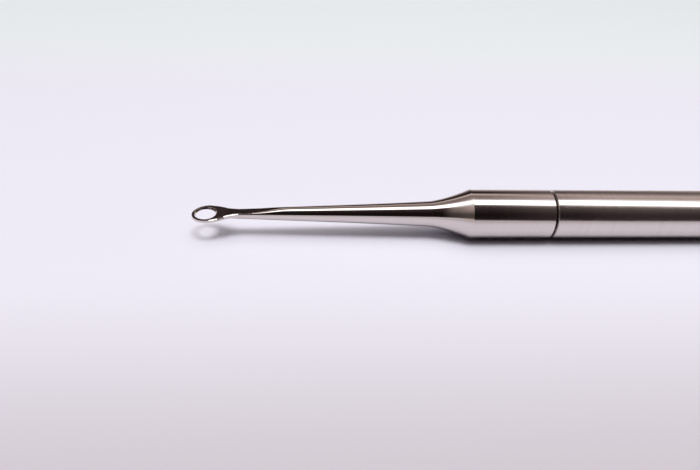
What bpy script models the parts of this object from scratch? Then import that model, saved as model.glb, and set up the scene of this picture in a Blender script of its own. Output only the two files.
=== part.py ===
"""Nail prep tool: a ring-tipped steel head that screws into a plain round steel handle.

The tool lies along X with its ring at -X, its lowest facet on z = 0 and its origin under the
middle of its length. Every axial place below is measured from the seam, the middle of the thin
gap between head and handle, with the handle on its positive side. All sizes are in metres.
"""

import math

import bmesh
import bpy
from mathutils import Matrix, Vector

# Round stock
TOOL_RADIUS = 0.0040
SEAM_GAP = 0.0002
HANDLE_LENGTH = 0.0840

# Head, from its shoulder at the seam to the tip of its ring
COLLAR_LENGTH = 0.01344
FLARE_LENGTH = 0.00646
SHANK_LENGTH = 0.0324
SHANK_END_RADIUS = 0.00208
NECK_RADIUS = 0.00074
SHANK_SWELL = 0.2
SWELL_POWER = 4
FLARE_POWER = 1.5
SHOULDER_CHAMFER = 0.00016
NOSE_SETBACK = 0.00025
NOSE_RADIUS = 0.00024

# Ring blade, a flat pierced plate that tapers into the neck
RING_OPENING_RADIUS = 0.00181
RING_TIP_WIDTH = 0.00025
RING_HALF_BREADTH = 0.00233
RING_CORNER_SETBACK = 0.00042
RING_NECK_LENGTH = 0.00162
RING_TAIL_LENGTH = 0.0016
RING_TAIL_SINK = 0.00008
RING_WAIST_HALF_BREADTH = 0.00110
RING_FLANK_BULGE = 0.00013
RING_TIP_THICKNESS = 0.00038
RING_NECK_THICKNESS = 0.00044
RING_FRONT_POWER = 1.76

# Top of the blade and the sloping flat behind it, ground in one setting
FLAT_LENGTH = 0.0094
FLAT_LOW_HEIGHT = 0.0001
GRIND_ALLOWANCE = 0.0001
GRIND_OVERRUN = 0.001

# Screwed joint between head and handle
THREAD_RADIUS = 0.0025
THREAD_PITCH = 0.0008
THREAD_CREST = 0.0001
THREAD_ROOT = 0.000215
THREAD_FLANK_ANGLE = math.radians(30)
THREAD_CLEARANCE = 0.00006
THREAD_TURNS = 5
THREAD_RUN_OUT = 0.0006
SPIGOT_NECK_DEPTH = 0.00018
SPIGOT_LEAD = 0.00005
SPIGOT_CHAMFER = 0.0003
BUSH_LENGTH = 0.0060

# Seal ring in the mouth of the handle
SEAL_SIDE_GAP = 0.00005
SEAL_INNER_GAP = 0.0001
SEAL_OUTER_GAP = 0.0002

# Handle tube and its end cap
TUBE_WALL = 0.0008
TUBE_MOUTH_CHAMFER = 0.00005
PRESS_GAP = 0.00003
CAP_LENGTH = 0.0050
CAP_PLUG_LENGTH = 0.0060
CAP_PLUG_CHAMFER = 0.0004
CAP_EDGE_RADIUS = 0.0012
CAP_SEAM_CHAMFER = 0.00016

# Fineness of the faceted solids
SIDES = 32
SHANK_STEPS = 10
FLARE_STEPS = 7
RING_ARC_STEPS = 22
RING_FLANK_STEPS = 4
SEAL_SIDES = 8
CAP_EDGE_STEPS = 4
MERGE_DISTANCE = 1e-6
SMOOTH_ANGLE = math.radians(32)

# Places along the tool, from the seam
SHOULDER_X = -SEAM_GAP / 2
RIM_X = SHOULDER_X - COLLAR_LENGTH
FLARE_X = RIM_X - FLARE_LENGTH
NECK_X = FLARE_X - SHANK_LENGTH
RING_ROOT_X = NECK_X - RING_NECK_LENGTH
RING_CENTRE_X = RING_ROOT_X - RING_OPENING_RADIUS
TIP_X = RING_CENTRE_X - RING_OPENING_RADIUS - RING_TIP_WIDTH
MOUTH_X = SEAM_GAP / 2
TAIL_X = HANDLE_LENGTH
CAP_SEAM_X = TAIL_X - CAP_LENGTH
MIDDLE_X = (TIP_X + TAIL_X) / 2
AXIS = Vector((-MIDDLE_X, 0, TOOL_RADIUS))


def clear_scene():
    """Remove whatever the opened file holds."""
    for item in list(bpy.data.objects):
        bpy.data.objects.remove(item, do_unlink=True)


def new_collection(name):
    """Add a collection to the scene."""
    collection = bpy.data.collections.new(name)
    bpy.context.scene.collection.children.link(collection)
    return collection


def steel(name, colour, roughness):
    """A bare stainless steel finish."""
    return principled(name, colour, roughness, 1.0)


def principled(name, colour, roughness, metallic):
    """A material with one colour."""
    material = bpy.data.materials.new(name)
    material.use_nodes = True
    shader = material.node_tree.nodes["Principled BSDF"]
    shader.inputs["Base Color"].default_value = (*colour, 1.0)
    shader.inputs["Roughness"].default_value = roughness
    shader.inputs["Metallic"].default_value = metallic
    return material


def mesh_object(name, mesh, collection, material=None):
    """Put a mesh on the tool's axis, at the seam."""
    piece = bpy.data.objects.new(name, mesh)
    piece.location = AXIS
    collection.objects.link(piece)
    if material:
        mesh.materials.append(material)
    return piece


def move_to(piece, collection):
    """Put an object that Blender added to the scene into one collection alone."""
    for owner in list(piece.users_collection):
        owner.objects.unlink(piece)
    collection.objects.link(piece)


def outline_mesh(name, outline, closed):
    """A turned piece's outline as a chain of edges.

    The outline is a list of (place along X, radius to a flat of the faceted piece). It lies half
    a facet away from Y, so that the turned piece has a flat facet lowest.
    """
    half_facet = math.pi / SIDES
    corner = 1 / math.cos(half_facet)
    points = [
        (x, r * corner * math.cos(half_facet), r * corner * math.sin(half_facet))
        for x, r in outline
    ]
    edges = [(i, i + 1) for i in range(len(points) - 1)]
    if closed:
        edges.append((len(points) - 1, 0))
    mesh = bpy.data.meshes.new(name)
    mesh.from_pydata(points, edges, [])
    return mesh


def add_turn(piece, rise=0.0, turns=1):
    """Turn an outline about X, rising by the given amount in each turn."""
    screw = piece.modifiers.new("turned", "SCREW")
    screw.axis = "X"
    screw.angle = math.tau
    screw.screw_offset = rise
    screw.iterations = turns
    screw.steps = SIDES
    screw.render_steps = SIDES
    screw.use_merge_vertices = rise == 0
    screw.merge_threshold = MERGE_DISTANCE
    return screw


def turned(name, outline, closed, collection, material=None):
    """A turned piece, from an outline that runs down X along its outer side."""
    mesh = outline_mesh(name, outline, closed)
    piece = mesh_object(name, mesh, collection, material)
    add_turn(piece)
    return piece


def evaluated_mesh(piece):
    """The mesh that a piece's data and modifiers make."""
    bpy.context.view_layer.update()
    graph = bpy.context.evaluated_depsgraph_get()
    return bpy.data.meshes.new_from_object(piece.evaluated_get(graph))


def freeze(piece):
    """Replace a piece's mesh and modifiers by the mesh that they make."""
    made = evaluated_mesh(piece)
    piece.modifiers.clear()
    piece.data = made


def extruded(name, outline, breadth, collection):
    """A flat outline of (x, height) points, given its breadth evenly about the XZ plane."""
    curve = bpy.data.curves.new(name, "CURVE")
    curve.dimensions = "2D"
    curve.fill_mode = "BOTH"
    curve.extrude = breadth / 2
    spline = curve.splines.new("POLY")
    spline.points.add(len(outline) - 1)
    for point, (x, height) in zip(spline.points, outline):
        point.co = (x, height, 0, 1)
    spline.use_cyclic_u = True
    drawn = mesh_object(name, curve, collection)
    mesh = evaluated_mesh(drawn)
    bpy.data.objects.remove(drawn)
    work = bmesh.new()
    work.from_mesh(mesh)
    bmesh.ops.remove_doubles(work, verts=work.verts, dist=MERGE_DISTANCE)
    bmesh.ops.recalc_face_normals(work, faces=work.faces)
    work.to_mesh(mesh)
    work.free()
    mesh.transform(Matrix.Rotation(math.pi / 2, 4, "X"))
    return mesh_object(name, mesh, collection)


def close_ends(piece):
    """Fill the open ends of a swept profile and turn its faces outwards."""
    work = bmesh.new()
    work.from_mesh(piece.data)
    rim = [edge for edge in work.edges if edge.is_boundary]
    bmesh.ops.holes_fill(work, edges=rim, sides=0)
    bmesh.ops.recalc_face_normals(work, faces=work.faces)
    work.to_mesh(piece.data)
    work.free()


def cut(piece, tool, operation="DIFFERENCE"):
    """Cut one piece by another, or join the other to it."""
    boolean = piece.modifiers.new(tool.name, "BOOLEAN")
    boolean.operation = operation
    boolean.object = tool
    boolean.solver = "EXACT"


def guide(piece):
    """Mark a piece that only shapes others."""
    piece.hide_render = True
    piece.display_type = "WIRE"
    return piece


def finish(piece):
    """Make a piece's mesh final and shade it as a round thing."""
    freeze(piece)
    piece.data.shade_smooth()
    piece.data.set_sharp_from_angle(angle=SMOOTH_ANGLE)


def shank_radius(x):
    """The shank's radius: a straight taper with a swell towards the flare."""
    along = (x - NECK_X) / SHANK_LENGTH
    share = (1 - SHANK_SWELL) * along + SHANK_SWELL * along**SWELL_POWER
    return NECK_RADIUS + (SHANK_END_RADIUS - NECK_RADIUS) * share


def flare_radius(x):
    """The flare's radius: it leaves the shank's end at its slope and curves out to the collar."""
    end_slope = 1 + (SWELL_POWER - 1) * SHANK_SWELL
    slope = (SHANK_END_RADIUS - NECK_RADIUS) / SHANK_LENGTH * end_slope
    straight = SHANK_END_RADIUS + slope * (x - FLARE_X)
    rest = TOOL_RADIUS - SHANK_END_RADIUS - slope * FLARE_LENGTH
    return straight + rest * ((x - FLARE_X) / FLARE_LENGTH) ** FLARE_POWER


def spread(start, end, steps):
    """Evenly spaced values from start to end, both included."""
    return [start + (end - start) * i / steps for i in range(steps + 1)]


def head_outline():
    """The head's turned outline, from the end of its spigot to the nose under its ring."""
    core = core_radius()
    spigot_end = thread_end() + SPIGOT_LEAD + SPIGOT_CHAMFER
    relief_end = thread_start() - tooth_base() / 2 - THREAD_CLEARANCE
    nose_x = RING_ROOT_X + NOSE_SETBACK
    outline = [
        (spigot_end, 0),
        (spigot_end, core - SPIGOT_CHAMFER),
        (spigot_end - SPIGOT_CHAMFER, core),
        (relief_end, core),
        (relief_end - SPIGOT_NECK_DEPTH, spigot_neck_radius()),
        (SHOULDER_X, spigot_neck_radius()),
        (SHOULDER_X, TOOL_RADIUS - SHOULDER_CHAMFER),
        (SHOULDER_X - SHOULDER_CHAMFER, TOOL_RADIUS),
    ]
    outline += [(x, flare_radius(x)) for x in spread(RIM_X, FLARE_X, FLARE_STEPS)]
    outline += [(x, shank_radius(x)) for x in spread(FLARE_X, NECK_X, SHANK_STEPS)[1:]]
    outline += [(nose_x, NOSE_RADIUS), (nose_x, 0)]
    return outline


def flat_height(x):
    """Height above the axis of the flat ground on top of the neck."""
    high_x = flat_end()
    low_x = high_x - FLAT_LENGTH
    slope = (shank_radius(high_x) - FLAT_LOW_HEIGHT) / FLAT_LENGTH
    return FLAT_LOW_HEIGHT + slope * (x - low_x)


def flat_start():
    """Place of the flat's low end, halfway along the ring's neck."""
    return NECK_X - RING_NECK_LENGTH / 2


def flat_end():
    """Place where the flat runs out on the shank."""
    return flat_start() + FLAT_LENGTH


def blank_top(x):
    """Height above the axis of the unground blade, level as far as the flat and then with it."""
    return flat_height(max(x, flat_start())) + GRIND_ALLOWANCE


def blank_thickness(x):
    """The unground blade's thickness, which grows evenly from its tip to its tail."""
    tail = NECK_X + RING_TAIL_LENGTH
    along = (x - TIP_X) / (tail - TIP_X)
    ground = RING_TIP_THICKNESS + (RING_NECK_THICKNESS - RING_TIP_THICKNESS) * along
    return ground + GRIND_ALLOWANCE


def ring_outline():
    """The blade's outer outline from its tail round the tip and back, as (x, y) points.

    Its front is half a slightly pointed ellipse between two corners, and each flank runs from
    a corner to the waist with a slight bulge, and on into the shank.
    """
    corner_x = RING_CENTRE_X + RING_CORNER_SETBACK
    tail_x = NECK_X + RING_TAIL_LENGTH
    tail_half = shank_radius(tail_x) - RING_TAIL_SINK
    flank = [(tail_x, tail_half)]
    for along in spread(0, 1, RING_FLANK_STEPS):
        x = NECK_X + (corner_x - NECK_X) * along
        straight = RING_WAIST_HALF_BREADTH + (RING_HALF_BREADTH - RING_WAIST_HALF_BREADTH) * along
        flank.append((x, straight + RING_FLANK_BULGE * 4 * along * (1 - along)))
    power = 2 / RING_FRONT_POWER
    arc = []
    for turn in spread(0, math.pi, RING_ARC_STEPS)[1:-1]:
        x = corner_x - (corner_x - TIP_X) * math.sin(turn) ** power
        side = math.cos(turn)
        arc.append((x, math.copysign(RING_HALF_BREADTH * abs(side) ** power, side)))
    mirrored = [(x, -y) for x, y in reversed(flank)]
    return flank + arc + mirrored


def ring_blade(collection):
    """The pierced plate before grinding, lofted between its outline and its round opening."""
    work = bmesh.new()
    rows = []
    for x, y in ring_outline():
        out = Vector((x - RING_CENTRE_X, y)).normalized() * RING_OPENING_RADIUS
        inner_x = RING_CENTRE_X + out.x
        rows.append(
            [
                work.verts.new((x, y, blank_top(x))),
                work.verts.new((x, y, blank_top(x) - blank_thickness(x))),
                work.verts.new((inner_x, out.y, blank_top(inner_x) - blank_thickness(inner_x))),
                work.verts.new((inner_x, out.y, blank_top(inner_x))),
            ]
        )
    for row, following in zip(rows, rows[1:] + rows[:1]):
        for i in range(4):
            j = (i + 1) % 4
            work.faces.new((row[i], row[j], following[j], following[i]))
    bmesh.ops.triangulate(work, faces=work.faces)
    bmesh.ops.recalc_face_normals(work, faces=work.faces)
    mesh = bpy.data.meshes.new("ring_blade")
    work.to_mesh(mesh)
    work.free()
    return guide(mesh_object("ring_blade", mesh, collection))


def grinding_profile(collection):
    """A block over the blade and neck, whose underside is the blade's level top and the flat."""
    top = 2 * TOOL_RADIUS
    start_x = TIP_X - GRIND_OVERRUN
    end_x = flat_end() + GRIND_OVERRUN
    outline = [
        (start_x, FLAT_LOW_HEIGHT),
        (flat_start(), FLAT_LOW_HEIGHT),
        (end_x, flat_height(end_x)),
        (end_x, top),
        (start_x, top),
    ]
    return guide(extruded("grinding_profile", outline, 2 * TOOL_RADIUS, collection))


def tooth_base():
    """Width of a thread tooth at its root."""
    return THREAD_PITCH - THREAD_ROOT


def core_radius():
    """Radius of the head's threaded spigot between its teeth."""
    flank_depth = (tooth_base() - THREAD_CREST) / 2 / math.tan(THREAD_FLANK_ANGLE)
    return THREAD_RADIUS - flank_depth


def spigot_neck_radius():
    """Radius of the undercut between shoulder and thread, where the seal ring sits."""
    return core_radius() - SPIGOT_NECK_DEPTH


def seal_section_radius():
    """Radius of the seal's round section, which fills the room between neck and tube."""
    room = TOOL_RADIUS - TUBE_WALL - spigot_neck_radius()
    return (room - SEAL_INNER_GAP - SEAL_OUTER_GAP) / 2


def bush_front():
    """Place of the bush's front face, which the seal ring rests against."""
    return SHOULDER_X + 2 * SEAL_SIDE_GAP + 2 * seal_section_radius()


def thread_start():
    """Place of the first turn of the head's thread."""
    return bush_front() + THREAD_RUN_OUT + tooth_base() / 2


def thread_end():
    """Place where the head's last thread tooth ends."""
    return thread_start() + THREAD_TURNS * THREAD_PITCH + tooth_base() / 2


def helical_tooth(name, start, turns, clearance, collection):
    """One thread tooth wound round the axis, grown by a clearance on every side.

    Its flanks run on into the core by half of what the next turn leaves free. Its facets are
    staggered against the core's, so that no edge of one lies in a face of the other.
    """
    slope = math.tan(THREAD_FLANK_ANGLE)
    half_crest = THREAD_CREST / 2 + clearance
    half_base = tooth_base() / 2 + clearance
    half_room = THREAD_PITCH / 2 - half_base
    sunk = core_radius() + clearance - half_room / 2 / slope
    half_sunk = half_base + half_room / 2
    profile = [
        (start + half_sunk, sunk),
        (start + half_crest, THREAD_RADIUS + clearance),
        (start - half_crest, THREAD_RADIUS + clearance),
        (start - half_sunk, sunk),
    ]
    mesh = outline_mesh(name, profile, closed=True)
    mesh.transform(Matrix.Rotation(-math.pi / SIDES, 4, "X"))
    tooth = mesh_object(name, mesh, collection)
    add_turn(tooth, rise=THREAD_PITCH, turns=turns)
    freeze(tooth)
    close_ends(tooth)
    return guide(tooth)


def curette_head(parts, cutters, material):
    """Ring, neck, shank, flare, collar and threaded spigot, all one piece of steel."""
    head = turned("curette_head", head_outline(), False, parts, material)
    tooth = helical_tooth("male_tooth", thread_start(), THREAD_TURNS, 0.0, cutters)
    cut(head, ring_blade(cutters), "UNION")
    cut(head, grinding_profile(cutters))
    cut(head, tooth, "UNION")
    return head


def thread_bush(parts, cutters, material):
    """Threaded sleeve pressed into the mouth of the tube."""
    outer = TOOL_RADIUS - TUBE_WALL - PRESS_GAP
    bore = core_radius() + THREAD_CLEARANCE
    front = bush_front()
    back = front + BUSH_LENGTH
    outline = [(back, outer), (front, outer), (front, bore), (back, bore)]
    bush = turned("thread_bush", outline, True, parts, material)
    lead = math.ceil((thread_start() - front) / THREAD_PITCH) + 1
    turns = lead + math.ceil((back - thread_start()) / THREAD_PITCH) + 1
    start = thread_start() - lead * THREAD_PITCH
    cut(bush, helical_tooth("female_tooth", start, turns, THREAD_CLEARANCE, cutters))
    return bush


def seal_ring(parts, material):
    """Rubber ring on the spigot's neck, between the shoulder and the bush."""
    section = seal_section_radius()
    bpy.ops.mesh.primitive_torus_add(
        major_segments=SIDES,
        minor_segments=SEAL_SIDES,
        major_radius=spigot_neck_radius() + SEAL_INNER_GAP + section,
        minor_radius=section,
    )
    seal = bpy.context.object
    seal.name = "seal_ring"
    seal.data.transform(Matrix.Rotation(math.pi / 2, 4, "Y"))
    seal.data.transform(Matrix.Translation((SHOULDER_X + SEAL_SIDE_GAP + section, 0, 0)))
    seal.location = AXIS
    seal.data.materials.append(material)
    move_to(seal, parts)
    return seal


def handle_tube(parts, material):
    """Plain round tube with a crisp mouth and a fine bevel at the cap's seam."""
    inner = TOOL_RADIUS - TUBE_WALL
    back = CAP_SEAM_X - PRESS_GAP
    outline = [
        (back, TOOL_RADIUS - CAP_SEAM_CHAMFER),
        (back - CAP_SEAM_CHAMFER, TOOL_RADIUS),
        (MOUTH_X + TUBE_MOUTH_CHAMFER, TOOL_RADIUS),
        (MOUTH_X, TOOL_RADIUS - TUBE_MOUTH_CHAMFER),
        (MOUTH_X, inner),
        (back, inner),
    ]
    return turned("handle_tube", outline, True, parts, material)


def end_cap(parts, material):
    """Turned cap with a rounded edge and a plug that is pressed into the tube."""
    plug = TOOL_RADIUS - TUBE_WALL - PRESS_GAP
    plug_end = CAP_SEAM_X - CAP_PLUG_LENGTH
    outline = [(TAIL_X, 0)]
    outline += [
        (
            TAIL_X - CAP_EDGE_RADIUS * (1 - math.cos(turn)),
            TOOL_RADIUS - CAP_EDGE_RADIUS * (1 - math.sin(turn)),
        )
        for turn in spread(0, math.pi / 2, CAP_EDGE_STEPS)
    ]
    outline += [
        (CAP_SEAM_X + CAP_SEAM_CHAMFER, TOOL_RADIUS),
        (CAP_SEAM_X, TOOL_RADIUS - CAP_SEAM_CHAMFER),
        (CAP_SEAM_X, plug),
        (plug_end + CAP_PLUG_CHAMFER, plug),
        (plug_end, plug - CAP_PLUG_CHAMFER),
        (plug_end, 0),
    ]
    return turned("end_cap", outline, False, parts, material)


def main():
    """Build the tool."""
    clear_scene()
    parts = new_collection("nail_prep_tool")
    cutters = new_collection("cutters")
    head_steel = steel("polished_steel", (0.62, 0.60, 0.60), 0.12)
    handle_steel = steel("satin_steel", (0.58, 0.56, 0.56), 0.22)
    bush_steel = steel("turned_steel", (0.50, 0.49, 0.48), 0.30)
    rubber = principled("seal_rubber", (0.02, 0.02, 0.02), 0.55, 0.0)

    head = curette_head(parts, cutters, head_steel)
    seal = seal_ring(parts, rubber)
    bush = thread_bush(parts, cutters, bush_steel)
    tube = handle_tube(parts, handle_steel)
    cap = end_cap(parts, handle_steel)

    screw_axis = bpy.data.objects.new("screw_axis", None)
    screw_axis.location = AXIS
    parts.objects.link(screw_axis)
    for piece in (head, seal):
        piece.parent = screw_axis
        piece.location = (0, 0, 0)

    for piece in (head, seal, bush, tube, cap):
        finish(piece)


main()
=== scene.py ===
"""Looks of the nail prep tool: a ring-tipped steel head that screws into a round steel handle.

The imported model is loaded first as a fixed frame. Each piece below is drawn in millimetres, with
X measured from the seam between head and handle and heights from the tool's axis, and is then set
on the frame in metres. Sizes are in millimetres unless their description says otherwise.
"""

import logging
import math
from dataclasses import dataclass, fields
from enum import Enum

import bmesh
import bpy
from bpy.types import ColorRamp, Material, Mesh, Node, NodeSocket, NodeTree, Object
from mathutils import Matrix, Vector


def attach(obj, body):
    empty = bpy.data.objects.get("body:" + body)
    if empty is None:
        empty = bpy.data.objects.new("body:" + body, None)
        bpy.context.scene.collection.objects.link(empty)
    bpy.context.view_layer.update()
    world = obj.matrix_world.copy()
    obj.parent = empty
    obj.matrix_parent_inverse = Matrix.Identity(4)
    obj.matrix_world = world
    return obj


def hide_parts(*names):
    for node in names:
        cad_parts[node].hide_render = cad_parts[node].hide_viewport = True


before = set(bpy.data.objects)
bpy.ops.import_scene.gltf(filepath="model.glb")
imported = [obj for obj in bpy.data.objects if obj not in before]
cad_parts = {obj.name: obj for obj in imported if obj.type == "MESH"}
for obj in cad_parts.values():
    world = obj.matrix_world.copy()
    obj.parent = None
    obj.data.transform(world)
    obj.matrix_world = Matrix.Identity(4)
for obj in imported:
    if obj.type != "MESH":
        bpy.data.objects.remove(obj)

log = logging.getLogger("nail_prep_tool")

# The frame's unit, the seam's and the axis's places in the frame, and the round body's sizes.
MM = 0.001
SEAM_X = -13.055
AXIS_Z = 4.0
TOOL_RADIUS = 4.0
HALF_SEAM = 0.1
# How near two vertices are one, and from how many degrees on an edge stays sharp.
MERGE = 0.0002
SHARP_ANGLE = 30
# How much longer than wide the machining lines are, and the size and contrast of smudges.
LINE_STRETCH = 60
SMUDGE_SIZE = 3.0
SMUDGE_SPAN = (0.3, 0.7)
# The photograph's width in pixels, the sensor's in millimetres, and the camera's reach in metres.
PHOTO_WIDTH = 700
SENSOR_WIDTH = 36.0
CLIP = (0.005, 20.0)
# What red, green and blue add to the brightness of a colour.
LUMINANCE = (0.2126, 0.7152, 0.0722)
# How far the middle of a round edge lies in from its corner, as a share of its radius.
ARC_INSET = 0.29

# Kinds of node, and settings of theirs, that come up often.
MATH, SPAN, CLAMP = "ShaderNodeMath", "ShaderNodeMapRange", "ShaderNodeClamp"
SPLIT, JOIN = "ShaderNodeSeparateXYZ", "ShaderNodeCombineXYZ"
MAPPING, NOISE, BUMP = "ShaderNodeMapping", "ShaderNodeTexNoise", "ShaderNodeBump"
MIX, COLOURS = "ShaderNodeMix", {"data_type": "RGBA"}
SMOOTH = {"interpolation_type": "SMOOTHSTEP"}

Feed = NodeSocket | float | int | tuple[float, ...]
Rows = dict[str, tuple[object, ...] | str]
Point = tuple[float, float]


# Each point's place in metres (for the world the direction of view), whole and as X, Y and Z.
PLACE: Rows = {"place": ("ShaderNodeTexCoord", None), "at": (SPLIT, None, "place.Object")}


class Lay(Enum):
    """Which way the fine lines of a metal finish run."""

    AROUND = "around the tool's axis"
    ALONG = "along the tool's axis"


def linear(code: str) -> tuple[float, float, float, float]:
    """Turn a colour that is written as six sRGB hex digits into linear light.

    Args:
        code: The colour, such as "C8C6C4".

    Returns:
        Red, green and blue in linear light, and an alpha of one.
    """
    channels = [int(code[i : i + 2], 16) / 255 for i in (0, 2, 4)]
    bent = [c / 12.92 if c <= 0.04045 else ((c + 0.055) / 1.055) ** 2.4 for c in channels]
    return (*bent, 1.0)


def add_node(
    tree: NodeTree,
    kind: str,
    settings: dict[str, object] | None = None,
    feeds: dict[str | int, Feed] | None = None,
) -> Node:
    """Add a node to a tree, with its settings and what feeds its inputs.

    Args:
        tree: The tree that gets the node.
        kind: The node's type name in Blender.
        settings: Values for the node's own properties.
        feeds: For an input's name or number, the output that is linked to it or its fixed value.

    Returns:
        The new node.
    """
    node = tree.nodes.new(kind)
    for name, value in (settings or {}).items():
        setattr(node, name, value)
    for socket, feed in (feeds or {}).items():
        if isinstance(feed, NodeSocket):
            tree.links.new(feed, node.inputs[socket])
        else:
            node.inputs[socket].default_value = feed
    return node


def add_nodes(tree: NodeTree, known: dict[str, Feed], rows: Rows) -> dict[str, Feed]:
    """Add a run of nodes to a tree, each of which can use what the ones before it give.

    Args:
        tree: The tree that gets the nodes.
        known: Outputs by name. Those of a new node join them, the first one in use under the
            node's name and each of them as "name.output".
        rows: For each new node's name its kind, its settings (or the name of its operation) and its
            feeds, in the order of its inputs or as one dict. A feed that is a name stands for the
            output that is known by it, and a row that is only a name gives that output a new one.

    Returns:
        The outputs that are known by then.
    """
    for name, row in rows.items():
        if isinstance(row, str):
            known[name] = known[row]
            continue
        kind, settings, *feeds = row
        settings = {"operation": settings} if isinstance(settings, str) else settings
        listed = feeds[0] if feeds and isinstance(feeds[0], dict) else dict(enumerate(feeds))
        ready = {at: known[feed] if isinstance(feed, str) else feed for at, feed in listed.items()}
        node = add_node(tree, kind, settings, ready)
        known.update({f"{name}.{output.name}": output for output in node.outputs})
        known[name] = next((output for output in node.outputs if output.enabled), None)
    return known


def new_material(name: str, rows: Rows) -> Material:
    """Make a material.

    Args:
        name: Its name.
        rows: Its nodes.

    Returns:
        The material.
    """
    material = bpy.data.materials.new(name)
    material.use_nodes = True
    material.node_tree.nodes.clear()
    add_nodes(material.node_tree, {}, rows)
    return material


def on_frame(mesh: Mesh) -> Mesh:
    """Set a mesh that is drawn in millimetres from the seam on the frame, in metres."""
    mesh.transform(Matrix.Scale(MM, 4) @ Matrix.Translation((SEAM_X, 0, AXIS_Z)))
    return mesh


def show(name: str, mesh: Mesh) -> Object:
    """Link a mesh to the scene as an object at the origin."""
    piece = bpy.data.objects.new(name, mesh)
    bpy.context.scene.collection.objects.link(piece)
    return piece


def evaluated(piece: Object, name: str) -> Mesh:
    """Turn an object and its modifiers into a plain mesh and remove the object.

    Args:
        piece: The object to turn into a mesh.
        name: The new mesh's name.

    Returns:
        The plain mesh.
    """
    bpy.context.view_layer.update()
    graph = bpy.context.evaluated_depsgraph_get()
    mesh = bpy.data.meshes.new_from_object(piece.evaluated_get(graph))
    mesh.name = name
    bpy.data.objects.remove(piece, do_unlink=True)
    return mesh


def corner(before: Point, at: Point, after: Point, reach: float, steps: int = 4) -> list[Point]:
    """Round off a corner of an outline.

    Args:
        before: The outline's point before the corner.
        at: The corner itself.
        after: The outline's point after the corner.
        reach: How far from the corner the rounding starts.
        steps: Number of edges on the rounding.

    Returns:
        The rounding's points, in order.
    """
    middle = Vector(at)
    start = middle + (Vector(before) - middle).normalized() * reach
    end = middle + (Vector(after) - middle).normalized() * reach
    points = []
    for i in range(steps + 1):
        t = i / steps
        point = start * (1 - t) ** 2 + middle * 2 * t * (1 - t) + end * t**2
        points.append((point.x, point.y))
    return points


def rounded(outline: list[Point], reaches: dict[int, float]) -> list[Point]:
    """Round off some corners of an outline.

    Args:
        outline: The outline's points.
        reaches: For a corner's number in the outline, how far its rounding reaches.

    Returns:
        The outline with those corners rounded.
    """
    points: list[Point] = []
    for i, at in enumerate(outline):
        if i in reaches:
            points += corner(outline[i - 1], at, outline[(i + 1) % len(outline)], reaches[i])
        else:
            points.append(at)
    return points


@dataclass(frozen=True)
class Taper:
    """A round taper whose radius swells by a power rule towards its thick end.

    The built share is how much of its length is drawn, from its thin end, in so many rows.
    """

    start: float
    length: float
    start_radius: float
    end_radius: float
    swell: float
    power: float
    rows: int
    built_share: float = 1.0

    def radius(self, x: float) -> float:
        """The radius at a place along the tool."""
        t = (x - self.start) / self.length
        share = t + self.swell * (t**self.power - t)
        return self.start_radius + (self.end_radius - self.start_radius) * share

    def end_slope(self) -> float:
        """The slope at which the taper ends."""
        steepness = 1 + (self.power - 1) * self.swell
        return (self.end_radius - self.start_radius) / self.length * steepness


@dataclass(frozen=True)
class Thread:
    """A right-handed outside thread of 5 mm by 0.8 mm, with clearance for its bush."""

    start: float = 1.54
    length: float = 4.645
    first_crest: float = 1.8925
    core_radius: float = 2.0799
    depth: float = 0.4201
    pitch: float = 0.8
    crest_width: float = 0.1
    base_width: float = 0.585
    run_out: float = 0.3
    rows: int = 140


@dataclass(frozen=True)
class Flat:
    """A flat on a round body's top, which is level first and then lifts out of it.

    Its edge is soft over a small radius, and over a larger one past two places on X between which
    it changes. The margin is how far below the flat a face still gets its finish.
    """

    level: float = 0.42
    level_end: float = -50.2
    fall: float = 0.08
    lift: float = 0.0265
    lift_power: float = 1.75
    edge: float = 0.07
    soft_edge: float = 0.35
    soft_from: float = -48.7
    soft_to: float = -47.2
    margin: float = 0.01


def label(name: str) -> str:
    """Turn a field's name into the name that it has as an input of a tree."""
    return name.replace("_", " ").title()


# A grid of one by one, and where each vertex is in it, as a share along X and of a turn.
GRID: Rows = {
    "columns": (MATH, "ADD", "Sides", 1.0),
    "grid": (
        "GeometryNodeMeshGrid",
        None,
        {"Size X": 1.0, "Size Y": 1.0, "Vertices X": "Rows", "Vertices Y": "columns"},
    ),
    "position": ("GeometryNodeInputPosition", None),
    "shares": ("ShaderNodeVectorMath", "ADD", "position", (0.5, 0.5, 0.0)),
    "on_grid": (SPLIT, None, "shares"),
    "share": "on_grid.X",
    "turn": "on_grid.Y",
}

# The grid wrapped round the axis by each vertex's place along X, radius and share of a turn from Y
# towards Z, with its seam and poles closed and its finish given.
WRAP: Rows = {
    "angle": (MATH, "MULTIPLY", "turn", math.tau),
    "cosine": (MATH, "COSINE", "angle"),
    "sine": (MATH, "SINE", "angle"),
    "across": (MATH, "MULTIPLY", "cosine", "radius"),
    "up": (MATH, "MULTIPLY", "sine", "radius"),
    "place": (JOIN, None, "along", "across", "up"),
    "wrapped": ("GeometryNodeSetPosition", None, {"Geometry": "grid", "Position": "place"}),
    "closed": ("GeometryNodeMergeByDistance", None, {"Geometry": "wrapped", "Distance": MERGE}),
    "smooth": ("GeometryNodeSetShadeSmooth", None, "closed"),
    "real": ("GeometryNodeRealizeInstances", None, "smooth"),
    "dressed": ("GeometryNodeSetMaterial", None, {"Geometry": "real", "Material": "Finish"}),
    "end": ("NodeGroupOutput", None, "dressed"),
}


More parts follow.
